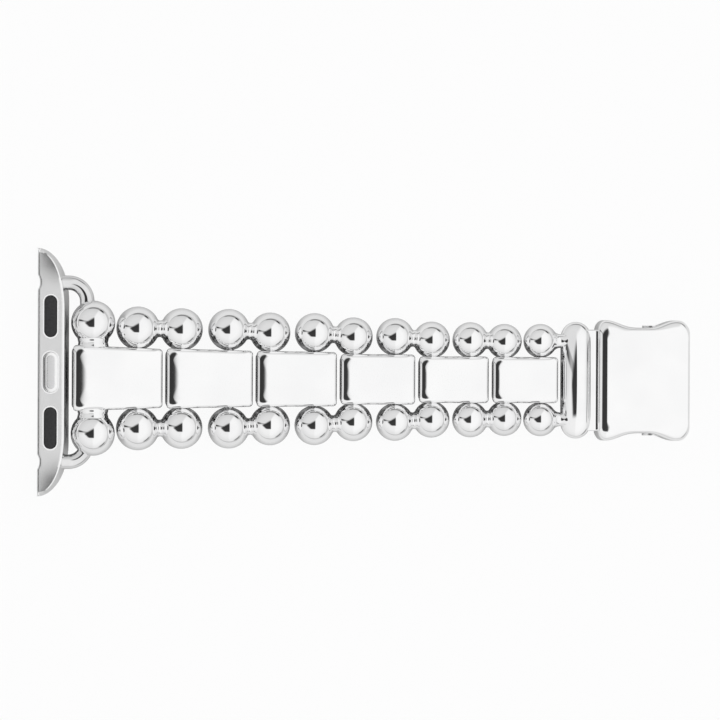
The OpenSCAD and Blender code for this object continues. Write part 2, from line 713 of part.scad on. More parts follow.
module coil(length, turns) {
    steps = round(SPRING_RINGS * turns);
    loft([for (k = [0:steps]) coil_ring(length, turns, k / steps)]);
    gap = min([
        for (m = [0:steps], n = [m + SPRING_RINGS / 2 + 1:1:steps])
            norm(coil_centre(length, turns, m / steps) - coil_centre(length, turns, n / steps))
    ]) - spring_wire_d;
    echo("least gap of a spring to itself", gap);
}

module lug_detent_spring() {
    color("#8b8d91") translate([0, 0, detent_cover_wall])
        coil(detent_flange_z - detent_cover_wall, detent_spring_turns);
}

module button_spring(side) {
    s = sign_of(side);
    color("#8b8d91") translate([button_x, band_shift + s * rib_wall / 2, button_z])
        rotate([-s * 90, 0, 0]) coil(spring_room, button_spring_turns);
}

lug_body();
lug_detent();
lug_detent_spring();
lug_detent_cover();
wire_loop();
for (side = SIDES) lug_pad(side);
for (side = SIDES) first_bead(side);
for (i = [1:BLOCKS]) block(i - 1);
for (k = [1:BARS], side = SIDES)
    barbell(k - 1, side);
for (j = [1:PINS]) pin(j - 1);
end_link();
clasp_cover();
clasp_base_plate();
for (side = SIDES) push_button(side);
for (side = SIDES) button_spring(side);
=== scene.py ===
# Dresses the beaded watch band: polished silver chain, satin lug, soft white studio.
# Sizes are in millimetres and angles in degrees, and everything is placed from the frame.
import json
import math

import bmesh
import bpy
from mathutils import Matrix, Vector


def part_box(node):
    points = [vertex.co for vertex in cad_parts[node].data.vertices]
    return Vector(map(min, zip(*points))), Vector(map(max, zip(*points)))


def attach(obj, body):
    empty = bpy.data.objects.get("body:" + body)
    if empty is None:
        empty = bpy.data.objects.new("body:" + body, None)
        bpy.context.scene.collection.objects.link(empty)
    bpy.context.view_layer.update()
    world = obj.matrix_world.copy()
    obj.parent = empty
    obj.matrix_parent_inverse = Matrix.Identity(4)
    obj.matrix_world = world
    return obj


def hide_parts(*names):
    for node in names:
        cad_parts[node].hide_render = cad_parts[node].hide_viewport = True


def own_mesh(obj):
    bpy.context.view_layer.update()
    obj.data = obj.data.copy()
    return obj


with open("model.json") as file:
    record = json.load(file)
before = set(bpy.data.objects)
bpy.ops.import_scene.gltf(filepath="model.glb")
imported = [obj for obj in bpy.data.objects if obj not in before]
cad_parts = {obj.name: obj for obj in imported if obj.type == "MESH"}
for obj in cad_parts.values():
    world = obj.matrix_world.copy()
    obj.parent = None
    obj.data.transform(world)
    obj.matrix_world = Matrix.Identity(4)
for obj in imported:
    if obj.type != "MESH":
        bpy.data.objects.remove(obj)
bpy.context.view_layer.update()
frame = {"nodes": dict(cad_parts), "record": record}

MM = 0.001
BLOCKS = 6
BARS = BLOCKS - 1
PINS = 2 * BARS + 1
SIDES = {"upper": 1, "lower": -1}


# Places taken from the frame

def box_mm(node):
    low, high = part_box(node)
    return low / MM, high / MM


def middle(node):
    low, high = box_mm(node)
    return (low + high) / 2


PIN_PAST_MIDDLE = 0.9
band_y = middle("pin_1").y
pin_z = middle("pin_1").z


def pin_x(j):
    return middle(f"pin_{j}").x


def pin_half_spread(j):
    low, high = box_mm(f"pin_{j}")
    return (high.y - low.y) / 2 - PIN_PAST_MIDDLE


def bead_radius(j):
    """Radius of the beads on pin j."""
    if j == PINS:
        low, high = box_mm("end_link")
        return pin_x(j) - low.x
    low, high = box_mm(f"barbell_{(j + 1) // 2}_upper")
    return pin_x(j) - low.x if j % 2 else high.x - pin_x(j)


# Mesh building. An edge is kept sharp when it turns by more than a crease, in degrees.

CREASE = 35
NO_CREASE = 180
WELD = 1e-8
POLE_R = 1e-4
LATHE_SIDES = 112
PAST = 1  # how far a cutter reaches past what it opens


def smooth(value, start, end):
    """0 before start, 1 after end, smooth between."""
    t = max(0, min(1, (value - start) / (end - start)))
    return t * t * (3 - 2 * t)


def full_turn(sides):
    """Angles round a circle, in radians, the first one not repeated."""
    return [2 * math.pi * k / sides for k in range(sides)]


def quarter_turn(steps):
    """Angles from nought to a right angle, in radians, both ends included."""
    return [math.pi / 2 * k / steps for k in range(steps + 1)]


def arc(cx, cy, radius, start, end, steps):
    """Points on a circle, from one angle to the other, both ends included."""
    angles = [math.radians(start + (end - start) * k / steps) for k in range(steps + 1)]
    return [(cx + radius * math.cos(a), cy + radius * math.sin(a)) for a in angles]


def lathe(profile):
    """Points and faces of a profile of (along, radius) pairs turned round X, from pole to pole."""
    points, rings, faces = [], [], []
    for along, radius in profile:
        out, angles = (0, [0]) if radius < POLE_R else (radius, full_turn(LATHE_SIDES))
        rings.append([len(points) + k for k in range(len(angles))])
        points += [(along, out * math.cos(a), out * math.sin(a)) for a in angles]
    for a, b in zip(rings, rings[1:]):
        for k in range(LATHE_SIDES):
            corners = [a[k % len(a)], a[(k + 1) % len(a)], b[(k + 1) % len(b)], b[k % len(b)]]
            faces.append(list(dict.fromkeys(corners)))
    return points, [f for f in faces if len(f) > 2]


def loft(rings):
    """Points and faces through rings with the same number of points, closed by a flat cap at both ends."""
    n = len(rings[0])
    points = [p for ring in rings for p in ring]
    faces = [
        (r * n + k, r * n + (k + 1) % n, (r + 1) * n + (k + 1) % n, (r + 1) * n + k)
        for r in range(len(rings) - 1)
        for k in range(n)
    ]
    faces.append(tuple(range(n)))
    faces.append(tuple(range((len(rings) - 1) * n, len(rings) * n)))
    return points, faces


def box_shape(low, high):
    """Points and faces of a box between two corners."""
    corners = [(x, y, z) for z in (low[2], high[2]) for x, y in
               ((low[0], low[1]), (high[0], low[1]), (high[0], high[1]), (low[0], high[1]))]
    sides = [(k, (k + 1) % 4, (k + 1) % 4 + 4, k + 4) for k in range(4)]
    return corners, [(0, 1, 2, 3), (4, 5, 6, 7)] + sides


def tube_along_y(x, z, ends, radius, sides):
    """Points and faces of a round bar between two places along Y."""
    return loft([[(x + radius * math.cos(a), y, z + radius * math.sin(a)) for a in full_turn(sides)]
                 for y in ends])


def shade(mesh, crease):
    """Smooth shading, with the edges above the crease kept sharp."""
    work = bmesh.new()
    work.from_mesh(mesh)
    bmesh.ops.remove_doubles(work, verts=work.verts, dist=WELD)
    bmesh.ops.recalc_face_normals(work, faces=work.faces)
    for face in work.faces:
        face.smooth = True
    for edge in work.edges:
        edge.smooth = len(edge.link_faces) == 2 and edge.calc_face_angle(0) < math.radians(crease)
    work.to_mesh(mesh)
    work.free()


def make(name, shape, material=None, place=None, crease=CREASE, second=None, marks=()):
    """An object from points and faces in millimetres, moved by a matrix, also in millimetres.

    Faces whose mark is 1 take the second material. Faces past the last mark take the first."""
    points, faces = shape
    place = place or Matrix()
    mesh = bpy.data.meshes.new(name)
    mesh.from_pydata([(place @ Vector(p)) * MM for p in points], [], faces)
    for look in (material, second):
        if look:
            mesh.materials.append(look)
    for face, mark in zip(mesh.polygons, marks):
        face.material_index = mark
    shade(mesh, crease)
    piece = bpy.data.objects.new(name, mesh)
    bpy.context.scene.collection.objects.link(piece)
    return piece


def cut(piece, cutters, crease=CREASE):
    """Takes the cutters out of the piece."""
    for cutter in cutters:
        step = piece.modifiers.new("cut", "BOOLEAN")
        step.object = cutter
        step.operation = "DIFFERENCE"
        step.solver = "EXACT"
    bpy.context.view_layer.update()
    graph = bpy.context.evaluated_depsgraph_get()
    result = bpy.data.meshes.new_from_object(piece.evaluated_get(graph))
    piece.modifiers.clear()
    piece.data = result
    shade(result, crease)
    for cutter in cutters:
        bpy.data.objects.remove(cutter)


def dress(piece, body, slot, *nodes):
    """Ties a piece to its body and hides the solids that it replaces. The slot is not used."""
    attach(piece, body)
    if nodes:
        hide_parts(*nodes)


# Materials

NOISE_START, NOISE_END = 0.3, 0.7  # most of a noise's values lie between these


def node_material(name, colour, metallic, roughness):
    """A Principled material, its shader and its node tree."""
    material = bpy.data.materials.new(name)
    material.use_nodes = True
    tree = material.node_tree
    shader = tree.nodes["Principled BSDF"]
    shader.inputs["Base Color"].default_value = (*colour, 1)
    shader.inputs["Metallic"].default_value = metallic
    shader.inputs["Roughness"].default_value = roughness
    return material, shader, tree


def noise(tree, scale, detail, stretch=(1, 1, 1)):
    """Noise over the object's own coordinates, with scale in cycles per metre."""
    place = tree.nodes.new("ShaderNodeTexCoord")
    mapping = tree.nodes.new("ShaderNodeMapping")
    mapping.inputs["Scale"].default_value = stretch
    texture = tree.nodes.new("ShaderNodeTexNoise")
    texture.inputs["Scale"].default_value = scale
    texture.inputs["Detail"].default_value = detail
    tree.links.new(place.outputs["Object"], mapping.inputs["Vector"])
    tree.links.new(mapping.outputs["Vector"], texture.inputs["Vector"])
    return texture.outputs["Fac"]


def worn(tree, shader, value, low, high):
    """Varies the roughness between two values."""
    step = tree.nodes.new("ShaderNodeMapRange")
    step.inputs["From Min"].default_value = NOISE_START
    step.inputs["From Max"].default_value = NOISE_END
    step.inputs["To Min"].default_value = low
    step.inputs["To Max"].default_value = high
    tree.links.new(value, step.inputs["Value"])
    tree.links.new(step.outputs["Result"], shader.inputs["Roughness"])


def tinted(tree, shader, value, dark, light):
    """Varies the base colour between two tones."""
    ramp = tree.nodes.new("ShaderNodeValToRGB")
    ramp.color_ramp.elements[0].color = (*dark, 1)
    ramp.color_ramp.elements[1].color = (*light, 1)
    ramp.color_ramp.elements[0].position = NOISE_START
    ramp.color_ramp.elements[1].position = NOISE_END
    tree.links.new(value, ramp.inputs["Fac"])
    tree.links.new(ramp.outputs["Color"], shader.inputs["Base Color"])


def bump(tree, shader, height, depth):
    """Adds a bump of that depth, in millimetres."""
    step = tree.nodes.new("ShaderNodeBump")
    step.inputs["Strength"].default_value = 1
    step.inputs["Distance"].default_value = depth * MM
    tree.links.new(height, step.inputs["Height"])
    tree.links.new(step.outputs["Normal"], shader.inputs["Normal"])


def polished_silver():
    """Hand-polished cast metal: mirror bright, slightly wavy, with hairline wear."""
    material, shader, tree = node_material("polished_silver", (0.93, 0.93, 0.93), 1, 0.03)
    worn(tree, shader, noise(tree, 900, 4, (1, 3, 1)), 0.02, 0.055)
    tinted(tree, shader, noise(tree, 260, 2), (0.90, 0.90, 0.905), (0.95, 0.95, 0.95))
    bump(tree, shader, noise(tree, 330, 1), 0.0012)
    return material


def polished_flats():
    """The blocks' and the box's broad faces: the same silver, buffed a little softer."""
    material, shader, tree = node_material("polished_flats", (0.94, 0.94, 0.94), 1, 0.05)
    worn(tree, shader, noise(tree, 700, 4, (1, 3, 1)), 0.04, 0.07)
    tinted(tree, shader, noise(tree, 180, 2), (0.92, 0.92, 0.923), (0.96, 0.96, 0.96))
    bump(tree, shader, noise(tree, 260, 1), 0.001)
    return material


def polished_wire():
    """Drawn wire, its tone set darker than the silver's as painted shade for its dark reflected edges, with
    fine marks.
    """
    # Painted shade: the base colour and both tones sit below the silver's to stand in for dark reflections.
    material, shader, tree = node_material("polished_wire", (0.76, 0.76, 0.765), 1, 0.08)
    worn(tree, shader, noise(tree, 1400, 3), 0.04, 0.08)
    tinted(tree, shader, noise(tree, 500, 2), (0.72, 0.72, 0.725), (0.80, 0.80, 0.80))
    bump(tree, shader, noise(tree, 1200, 2), 0.0008)
    return material


def satin_aluminium():
    """Fine-blasted, clear-anodised aluminium."""
    material, shader, tree = node_material("satin_aluminium", (0.86, 0.86, 0.863), 1, 0.26)
    worn(tree, shader, noise(tree, 900, 2), 0.24, 0.27)
    tinted(tree, shader, noise(tree, 1200, 2), (0.85, 0.85, 0.852), (0.87, 0.87, 0.872))
    bump(tree, shader, noise(tree, 3000, 1), 0.00005)
    return material


def cut_aluminium():
    """The lug's bright-cut edges and rims, smoother than its blasted face, with fine tool lines."""
    material, shader, tree = node_material("cut_aluminium", (0.92, 0.92, 0.922), 1, 0.12)
    lines = noise(tree, 1800, 2, (3, 0.3, 1))
    worn(tree, shader, lines, 0.10, 0.15)
    tinted(tree, shader, lines, (0.90, 0.90, 0.902), (0.94, 0.94, 0.94))
    bump(tree, shader, lines, 0.0004)
    return material


def satin_steel():
    """Brushed steel, grained along the band."""
    material, shader, tree = node_material("satin_steel", (0.84, 0.84, 0.845), 1, 0.28)
    grain = noise(tree, 2500, 3, (0.12, 1, 1))
    worn(tree, shader, grain, 0.24, 0.32)
    tinted(tree, shader, grain, (0.81, 0.81, 0.815), (0.87, 0.87, 0.873))
    bump(tree, shader, grain, 0.0005)
    return material


def pad_rubber():
    """Soft black rubber with a fine moulded grain."""
    material, shader, tree = node_material("pad_rubber", (0.022, 0.022, 0.024), 0, 0.55)
    grain = noise(tree, 4200, 3)
    worn(tree, shader, grain, 0.45, 0.68)
    tinted(tree, shader, grain, (0.014, 0.014, 0.015), (0.038, 0.038, 0.040))
    bump(tree, shader, grain, 0.01)
    return material


# The beads

BEAD_STEPS, WAIST_STEPS = 44, 20
WAIST_R = 1.0
BEAD_NEARER = 0.07  # how much nearer to the blocks the beads lie than their pins' ends say


def waisted_profile(r1, r2, pitch, waist):
    """Two beads and the concave fillet between them, as (along, radius) from the first bead's pole."""
    r = (r1 + r2) / 2
    fillet = ((pitch / 2) ** 2 + waist ** 2 - r ** 2) / (2 * (r - waist))
    along = (pitch ** 2 + (r1 - r2) * (r1 + r2 + 2 * fillet)) / (2 * pitch)
    out = math.sqrt((r1 + fillet) ** 2 - along ** 2)
    a = math.degrees(math.atan2(out, along))
    b = math.degrees(math.atan2(out, along - pitch))
    first = arc(0, 0, r1, 180, a, BEAD_STEPS)
    neck = arc(along, out, fillet, a + 180, b + 180, WAIST_STEPS)
    last = arc(pitch, 0, r2, b, 0, BEAD_STEPS)
    return first + neck[1:-1] + last


def barbell(k, side, material):
    """Two beads joined by a waist, on one side of the band."""
    low, high = box_mm(f"barbell_{k}_{side}")
    a, b = (Vector((pin_x(j), band_y + SIDES[side] * (pin_half_spread(j) - BEAD_NEARER), pin_z))
            for j in (2 * k - 1, 2 * k))
    turn = Matrix.Rotation(math.atan2(b.y - a.y, b.x - a.x), 4, "Z")
    shape = lathe(waisted_profile(a.x - low.x, high.x - b.x, (b - a).length, WAIST_R))
    piece = make(f"bead_pair_{k}_{side}", shape, material, Matrix.Translation(a) @ turn, NO_CREASE)
    dress(piece, f"bar_{k}", "polished_steel", f"barbell_{k}_{side}")


COLLAR_R, COLLAR_START_R, COLLAR_LENGTH = 1.78, 1.98, 1.24
COLLAR_WAVE, COLLAR_WAVES = 0.06, 2
COLLAR_STEPS, COLLAR_CREASE = 60, 40
BORE_GAP, BORE_SIDES = 0.07, 64


def first_bead(side, material):
    """A bead with the ringed collar that joins it to the first block, bored for the loop."""
    s = SIDES[side]
    low, high = box_mm(f"first_bead_{side}")
    radius = (high.x - low.x) / 2
    centre_y = high.y - radius if s > 0 else low.y + radius
    centre = Vector(((low.x + high.x) / 2, centre_y, (low.z + high.z) / 2))
    start = math.sqrt(radius ** 2 - COLLAR_START_R ** 2)
    profile = arc(0, 0, radius, 180, math.degrees(math.atan2(COLLAR_START_R, start)), COLLAR_STEPS)
    for k in range(1, COLLAR_STEPS + 1):
        u = k / COLLAR_STEPS
        near_end = abs(2 * u - 1) ** 3
        flare = (COLLAR_START_R - COLLAR_R) * near_end
        wave = COLLAR_WAVE * abs(math.sin(math.pi * COLLAR_WAVES * u)) * (1 - near_end)
        profile.append((start + COLLAR_LENGTH * u, COLLAR_R + flare + wave))
    profile.append((profile[-1][0], 0))
    place = Matrix.Translation(centre) @ Matrix.Rotation(math.radians(-90 * s), 4, "Z")
    piece = make(f"collared_bead_{side}", lathe(profile), material, place, COLLAR_CREASE)
    wire_low, wire_high = box_mm("wire_loop")
    bore_r = (wire_high.z - wire_low.z) / 2 + BORE_GAP
    x, z = wire_high.x - bore_r + BORE_GAP, (wire_low.z + wire_high.z) / 2
    ends = (centre.y - s * 2 * radius, centre.y + s * 2 * radius)
    cut(piece, [make("bore", tube_along_y(x, z, ends, bore_r, BORE_SIDES))], COLLAR_CREASE)
    dress(piece, "block_1", "polished_steel", f"first_bead_{side}")


# The blocks

CORNER_STEPS, SIDE_STEPS = 10, 6


def rounded_outline(corners, radius):
    """A convex outline, drawn anticlockwise, with rounded corners and evenly divided sides."""
    arcs = []
    for k, corner in enumerate(corners):
        p = Vector(corner)
        u = (Vector(corners[k - 1]) - p).normalized()
        v = (Vector(corners[(k + 1) % len(corners)]) - p).normalized()
        half = math.acos(max(-1, min(1, u.dot(v)))) / 2
        centre = p + (u + v).normalized() * radius / math.sin(half)
        start = p + u * radius / math.tan(half) - centre
        begin = math.degrees(math.atan2(start.y, start.x))
        end = begin + 180 - 2 * math.degrees(half)
        arcs.append(arc(centre.x, centre.y, radius, begin, end, CORNER_STEPS))
    outline = []
    for k, points in enumerate(arcs):
        outline += points
        a, b = Vector(points[-1]), Vector(arcs[(k + 1) % len(arcs)][0])
        outline += [tuple(a.lerp(b, m / SIDE_STEPS)) for m in range(1, SIDE_STEPS)]
    return outline


def pillow_edge(radii, bends, steps):
    """A crowned edge from the upright side to the flat top, as (inset, drop) pairs.

    It is made of arcs, each gentler than the last, that meet where the surface leans by the bends."""
    path = [(0.0, 0.0)]
    for radius, start, end, count in zip(radii, bends, bends[1:], steps):
        x0, z0 = path[-1]
        b = math.radians(start)
        for k in range(1, count + 1):
            a = math.radians(start + (end - start) * k / count)
            inward = radius * (math.sin(b) - math.sin(a))
            upward = radius * (math.cos(a) - math.cos(b))
            path.append((x0 + inward, z0 + upward))
    top = path[-1][1]
    return [(inset, top - z) for inset, z in path]


FULL_BLOCK = 10.8  # length of a block whose crown is full size
CURL_ROUND, CURL_STEPS = 1.35, 12
SIDE_ROUND, SIDE_GAP = 0.34, 0.06
BLOCK_CORNER_R, CORNER_GROWTH = 0.6, 0.7
CORNER_WIDTH_SHARE, CORNER_LENGTH_SHARE = 0.9, 0.45
BLOCK_RIM_R, BLOCK_BROW_R, BLOCK_CROWN_R = 0.56, 1.3, 16
BLOCK_BENDS, BLOCK_EDGE_STEPS = (90, 22, 4, 0), (14, 12, 8)
FLARE, FLARE_DROP, FLARE_STEPS = 0.21, 1.35, 8


def block_narrow_half(i, wide):
    """Half width at the clasp end, along the straight side that passes the bead at the block's first pin."""
    low, high = box_mm(f"block_{i}")
    j = 1 if i == 1 else 2 * i - 2
    at_pin = pin_half_spread(j) - bead_radius(j) - SIDE_GAP
    return wide - (wide - at_pin) * (high.x - low.x) / (pin_x(j) - low.x)


def block(i, material):
    """A centre block: ends rounded below to let the chain curl, upper sides flared, top edge crowned."""
    low, high = box_mm(f"block_{i}")
    wide = (high.y - low.y) / 2
    narrow = block_narrow_half(i, wide)
    length = high.x - low.x
    size = length / FULL_BLOCK

    def ring(end_inset, side_inset, z):
        x0, x1 = low.x + end_inset, high.x - end_inset
        taper = (wide - narrow) * end_inset / length
        w0, w1 = wide - taper - side_inset, narrow + taper - side_inset
        corner = min(BLOCK_CORNER_R + CORNER_GROWTH * side_inset, CORNER_WIDTH_SHARE * w1,
                     CORNER_LENGTH_SHARE * (x1 - x0))
        outline = rounded_outline([(x0, -w0), (x1, -w1), (x1, w1), (x0, w0)], corner)
        return [(x, band_y + y, z) for x, y in outline]

    rings = []
    for a in quarter_turn(CURL_STEPS):
        z = low.z + CURL_ROUND * (1 - math.cos(a))
        below = max(0, SIDE_ROUND - (z - low.z))
        side = SIDE_ROUND - math.sqrt(SIDE_ROUND ** 2 - below ** 2)
        rings.append(ring(CURL_ROUND * (1 - math.sin(a)), side, z))
    radii = (BLOCK_RIM_R, BLOCK_BROW_R * size, BLOCK_CROWN_R * size ** 4)
    edge = pillow_edge(radii, BLOCK_BENDS, BLOCK_EDGE_STEPS)
    rim_drop = edge[0][1]
    flare_start = high.z - FLARE_DROP
    for k in range(FLARE_STEPS + 1):
        z = flare_start + (high.z - rim_drop - flare_start) * k / FLARE_STEPS
        rings.append(ring(0, -FLARE * smooth(k, 0, FLARE_STEPS), z))
    for inset, drop in edge[1:]:
        rings.append(ring(inset, inset - FLARE, high.z - drop))
    piece = make(f"polished_block_{i}", loft(rings), material)
    dress(piece, f"block_{i}", "polished_steel", f"block_{i}")


# The wire loop

WIRE_BEND_R = 2.24
LEG_STEPS, BEND_STEPS, LOOP_SIDES = 4, 32, 64


def wire_loop(material):
    """The bent wire: two legs, two bends and the bar that carries the first block."""
    low, high = box_mm("wire_loop")
    radius = (high.z - low.z) / 2
    z = (low.z + high.z) / 2
    leg_y = (high.y - low.y) / 2 - radius
    bend_x = high.x - radius - WIRE_BEND_R
    path = [(low.x + (bend_x - low.x) * k / LEG_STEPS, -leg_y, 0) for k in range(LEG_STEPS)]
    for centre_y, turned in ((-leg_y + WIRE_BEND_R, 0), (leg_y - WIRE_BEND_R, 90)):
        bend = arc(bend_x, centre_y, WIRE_BEND_R, turned - 90, turned, BEND_STEPS)
        path += [(x, y, turned + 90 * k / BEND_STEPS) for k, (x, y) in enumerate(bend)]
    path += [(bend_x - (bend_x - low.x) * k / LEG_STEPS, leg_y, 180) for k in range(1, LEG_STEPS + 1)]
    rings = []
    for x, y, heading in path:
        h = math.radians(heading)
        centre, across = Vector((x, y, z)), Vector((-math.sin(h), math.cos(h), 0))
        rings.append([tuple(centre + across * radius * math.cos(t) + Vector((0, 0, radius * math.sin(t))))
                      for t in full_turn(LOOP_SIDES)])
    piece = make("loop_wire", loft(rings), material)
    dress(piece, "lug", "polished_wire", "wire_loop")


# The end link

CROSS_BAR_R = 1.85
CROSS_BAR_END, CROSS_BAR_END_POWER = 2.1, 2.2
CROSS_BAR_CHAIN_SIDE, CROSS_BAR_BOX_SIDE = 1.7, 2.4
CROSS_BAR_STEPS, CROSS_BAR_SIDES, CROSS_BAR_CREASE = 96, 128, 60
CROSS_BAR_OFFSET = 4.3
NECK_LENGTH, NECK_R, NECK_FOOT_R = CROSS_BAR_OFFSET - 1.0, 0.92, 1.04
LEDGE_HALF_WIDTH, LEDGE_HALF_HEIGHT, LEDGE_CORNER_R = 6.12, 0.6, 0.2


def section(part, side):
    """One coordinate on the bar's cross-section, drawn in on the chain's side and full on the box's."""
    power = CROSS_BAR_BOX_SIDE if side > 0 else CROSS_BAR_CHAIN_SIDE
    return math.copysign(abs(part) ** (2 / power), part)


def end_link(material):
    """Cross bar, two necked beads and the ledge that meets the box."""
    low, high = box_mm("end_link")
    x_bead, y_bead, r_bead = pin_x(PINS), pin_half_spread(PINS), bead_radius(PINS)
    bar_x = x_bead + CROSS_BAR_OFFSET
    bar_half = (high.y - low.y) / 2
    ring = [(section(math.cos(t), math.cos(t)), section(math.sin(t), math.cos(t)))
            for t in full_turn(CROSS_BAR_SIDES)]
    rings = []
    for k in range(1, CROSS_BAR_STEPS):
        v = -math.cos(math.pi * k / CROSS_BAR_STEPS)
        past = max(0, abs(v) * bar_half - (bar_half - CROSS_BAR_END)) / CROSS_BAR_END
        across = CROSS_BAR_R * math.sqrt(1 - past ** CROSS_BAR_END_POWER)
        tall = CROSS_BAR_R * math.sqrt(1 - v ** 2)
        rings.append([(bar_x + across * x, band_y + bar_half * v, pin_z + tall * z) for x, z in ring])
    bar = make("cross_bar", loft(rings), material, crease=CROSS_BAR_CREASE)
    dress(bar, "clasp", "polished_steel", "end_link")
    for side, s in SIDES.items():
        shape = lathe(waisted_profile(r_bead, NECK_FOOT_R, NECK_LENGTH, NECK_R))
        place = Matrix.Translation((x_bead, band_y + s * y_bead, pin_z))
        dress(make(f"necked_bead_{side}", shape, material, place, NO_CREASE), "clasp", "polished_steel")
    wide, tall = LEDGE_HALF_WIDTH, LEDGE_HALF_HEIGHT
    outline = rounded_outline([(-wide, -tall), (wide, -tall), (wide, tall), (-wide, tall)], LEDGE_CORNER_R)
    rings = [[(x, band_y + y, pin_z + z) for y, z in outline] for x in (bar_x, box_mm("clasp_cover")[0].x)]
    dress(make("ledge", loft(rings), material), "clasp", "polished_steel")


# The clasp's box

BOX_WAIST = 12.76
BULGE_OFFSET, BULGE_PITCH, BULGE_POWER = 1.0, 8.6, 1.6
BOX_CORNERS, BOX_CORNER_GROWTH = (1.0, 1.15), (-0.35, 0.2)
END_SHARE, BULGE_SHARE, WAIST_SHARE = 0.3, 1.7, 0.35
WALL_STEPS, BOX_CORNER_STEPS = 72, 14
BOX_RADII, BOX_BENDS, BOX_EDGE_STEPS = (0.93, 1.62, 6), (90, 22, 1.5, 0), (18, 18, 6)
SHELL_FOOT, SHELL_WALL, SHELL_ROOF = 1.2, 1, 0.9
CAVITY_HALF = 5.38
MOUTH_HALF, MOUTH_HEIGHT, MOUTH_DEPTH = 4.5, 2.5, 2
BUTTON_X, BUTTON_Z, BUTTON_HOLE_R = 6.75, 2.6, 1.2
BUTTON_HOLE_REACH, BUTTON_HOLE_SIDES = 9, 96
PLATE_WALL, PLATE_ROUND, PLATE_STEPS = 0.8, 0.4, 8
RIB_HALF_X, RIB_HALF_Y, RIB_SUNK = 1.1, 0.6, 0.1


def box_half_width(x, x0, bulge_width):
    """Half width of the waisted box, and how much of a bulge there is at x."""
    bulge = ((1 + math.cos(2 * math.pi * (x - x0 - BULGE_OFFSET) / BULGE_PITCH)) / 2) ** BULGE_POWER
    return (BOX_WAIST + (bulge_width - BOX_WAIST) * bulge) / 2, bulge


def box_ring(inset, z):
    """The box's outline, drawn in fully at the cross bar and less at the waist and the mouth."""
    low, high = box_mm("clasp_cover")
    x0, x1 = low.x + inset, high.x - END_SHARE * inset
    left, right = (radius + growth * inset for radius, growth in zip(BOX_CORNERS, BOX_CORNER_GROWTH))
    angles = quarter_turn(BOX_CORNER_STEPS)
    edge = [(x0 + left * (1 - math.cos(a)), left * (1 - math.sin(a))) for a in angles]
    edge += [(x0 + left + (x1 - x0 - left - right) * k / WALL_STEPS, 0) for k in range(1, WALL_STEPS)]
    edge += [(x1 - right * (1 - math.cos(a)), right * (1 - math.sin(a))) for a in reversed(angles)]
    half = []
    for x, corner in edge:
        width, bulge = box_half_width(x, low.x, high.y - low.y)
        half.append((x, width - corner - inset * (WAIST_SHARE + (BULGE_SHARE - WAIST_SHARE) * bulge)))
    return [(x, band_y - y, z) for x, y in half] + [(x, band_y + y, z) for x, y in reversed(half)]


def clasp_cover(material):
    """The box's shell: upright walls, rounded edge, flat polished top, mouth and button holes."""
    low, high = box_mm("clasp_cover")
    rings = [box_ring(0, low.z), box_ring(0, low.z + SHELL_FOOT)]
    edge = pillow_edge(BOX_RADII, BOX_BENDS, BOX_EDGE_STEPS)
    rings += [box_ring(inset, high.z - drop) for inset, drop in edge]
    piece = make("clasp_shell", loft(rings), material)
    cavity = box_shape((low.x + SHELL_WALL, band_y - CAVITY_HALF, low.z - PAST),
                       (high.x - SHELL_WALL, band_y + CAVITY_HALF, high.z - SHELL_ROOF))
    mouth = box_shape((high.x - MOUTH_DEPTH, band_y - MOUTH_HALF, low.z - PAST),
                      (high.x + PAST, band_y + MOUTH_HALF, low.z + MOUTH_HEIGHT))
    hole = tube_along_y(low.x + BUTTON_X, BUTTON_Z, (band_y - BUTTON_HOLE_REACH, band_y + BUTTON_HOLE_REACH),
                        BUTTON_HOLE_R, BUTTON_HOLE_SIDES)
    cut(piece, [make("cavity", cavity), make("mouth", mouth), make("button_hole", hole)])
    dress(piece, "clasp", "polished_steel", "clasp_cover")


def base_plate(material):
    """The plate under the box, with the rib between the two springs."""
    low, high = box_mm("clasp_base_plate")
    rings = [box_ring(PLATE_ROUND * (1 - math.sin(a)), low.z + PLATE_ROUND * (1 - math.cos(a)))
             for a in quarter_turn(PLATE_STEPS)]
    rings.append(box_ring(0, low.z + PLATE_WALL))
    dress(make("base_plate", loft(rings), material), "clasp", "satin_steel", "clasp_base_plate")
    x = low.x + BUTTON_X
    rib = box_shape((x - RIB_HALF_X, band_y - RIB_HALF_Y, low.z + PLATE_WALL - RIB_SUNK),
                    (x + RIB_HALF_X, band_y + RIB_HALF_Y, high.z))
    dress(make("spring_rib", rib, material), "clasp", "satin_steel")


# The lug

RAIL_HALF = 1.5
TIP_LENGTH, TIP_ANGLE = 6.4, 84
TIP_ROUND, TIP_ROUND_DEPTH = 0.45, 0.6
FACE_TIP_LENGTH, FACE_TIP_BACK = 6.94, 1.0
LEAST_REACH, LEAST_FACE, LEAST_LIP = 0.1, 0.03, 0.06
NOTCH_SPACING, NOTCH_LENGTH, NOTCH_DEPTH = 21.7, 1.82, 0.27
CASE_EDGE, CASE_EDGE_DROP, CASE_EDGE_SHARE = 0.16, 0.06, 0.4
TWIST, TWIST_START, TWIST_END, TWIST_FULL_WIDTH = 0.11, 9.5, 13.5, 2
BEVEL, BEVEL_DROP, BEVEL_SHARE = 0.17, 0.07, 0.3
STEP_WIDTH, STEP_DROP, STEP_SHARE = 0.03, 0.12, 0.1
LIP_DROP, LIP_POWER = 1.9, 1.05
FOOT, CASE_LEAN = 0.35, 0.24
CASE_EDGE_STEPS, FACE_STEPS, LIP_STEPS, LUG_STEPS = 6, 16, 14, 110
LUG_CREASE = 25


def lug_reach(y, inset=0, back=0, tip_length=TIP_LENGTH):
    """How far the lug reaches from its case side at y: straight, then a long elliptical tip."""
    low, high = box_mm("lug_body")
    straight = (high.y - low.y) / 2 - TIP_LENGTH * math.sin(math.radians(TIP_ANGLE)) - back
    past = max(0, abs(y) - straight) / tip_length
    return (high.x - low.x - inset) * math.sqrt(max(0, 1 - past ** 2))


